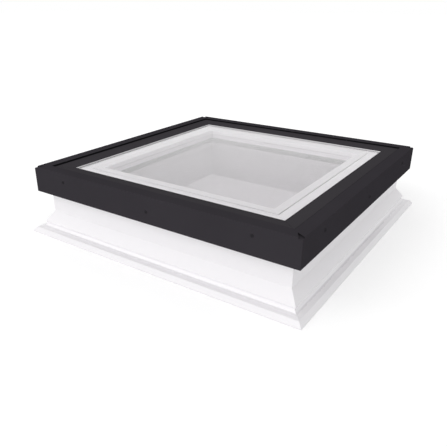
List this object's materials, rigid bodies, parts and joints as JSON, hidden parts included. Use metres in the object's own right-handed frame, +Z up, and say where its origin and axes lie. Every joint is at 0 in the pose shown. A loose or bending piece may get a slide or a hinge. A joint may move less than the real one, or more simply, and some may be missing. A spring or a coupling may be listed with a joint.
{
  "type": "roof skylight",
  "caption": "Fixed square flat-roof skylight: flat stepped glazing unit under dark metal cladding, on a white plastic upstand with a sloping foot.",
  "frame": {"origin": "middle of the upstand's underside, which lies on the roof", "axes": "+Z up, away from the roof; -Y is the side at the picture's left, +X the side at its right"},
  "size_m": [1.05, 1.05, 0.24],
  "materials": {
    "white_plastic": "satin white PVC",
    "dark_cladding": "dark grey powder coat, satin",
    "foam": "white expanded foam",
    "stiffener_steel": "galvanised",
    "key_aluminium": "dark grey powder coat, satin",
    "glass_top": "clear, toughened",
    "glass_inner": "clear, coated",
    "white_spacer": "satin white",
    "edge_sealant": "light grey silicone",
    "dark_rubber": "matt black",
    "grey_rubber": "light grey",
    "foam_tape": "light grey foam",
    "block_plastic": "grey",
    "dark_screw": "dark coated"
  },
  "bodies": {
    "root": {"cladding_back": "dark_cladding", "cladding_front": "dark_cladding", "cladding_left": "dark_cladding", "cladding_right": "dark_cladding", "cladding_screws": "dark_screw", "corner_key_back_left": "key_aluminium", "corner_key_back_right": "key_aluminium", "corner_key_front_left": "key_aluminium", "corner_key_front_right": "key_aluminium", "foam_core_back": "foam", "foam_core_front": "foam", "foam_core_left": "foam", "foam_core_right": "foam", "glazing_frame_back": "white_plastic", "glazing_frame_front": "white_plastic", "glazing_frame_left": "white_plastic", "glazing_frame_right": "white_plastic", "glazing_tape": "foam_tape", "inner_frame_seal": "grey_rubber", "inner_laminated_pane": "glass_inner", "joining_strip_back": "block_plastic", "joining_strip_front": "block_plastic", "joining_strip_left": "block_plastic", "joining_strip_right": "block_plastic", "lip_gasket_back": "dark_rubber", "lip_gasket_front": "dark_rubber", "lip_gasket_left": "dark_rubber", "lip_gasket_right": "dark_rubber", "lower_edge_seal": "edge_sealant", "lower_spacer": "white_spacer", "middle_pane": "glass_inner", "outer_frame_seal": "dark_rubber", "outer_pane": "glass_top", "rebate_gasket": "grey_rubber", "setting_blocks": "block_plastic", "steel_stiffener_back": "stiffener_steel", "steel_stiffener_front": "stiffener_steel", "steel_stiffener_left": "stiffener_steel", "steel_stiffener_right": "stiffener_steel", "upper_edge_seal": "edge_sealant", "upper_spacer": "white_spacer", "upstand_back": "white_plastic", "upstand_front": "white_plastic", "upstand_left": "white_plastic", "upstand_right": "white_plastic"}
  },
  "joints": []
}
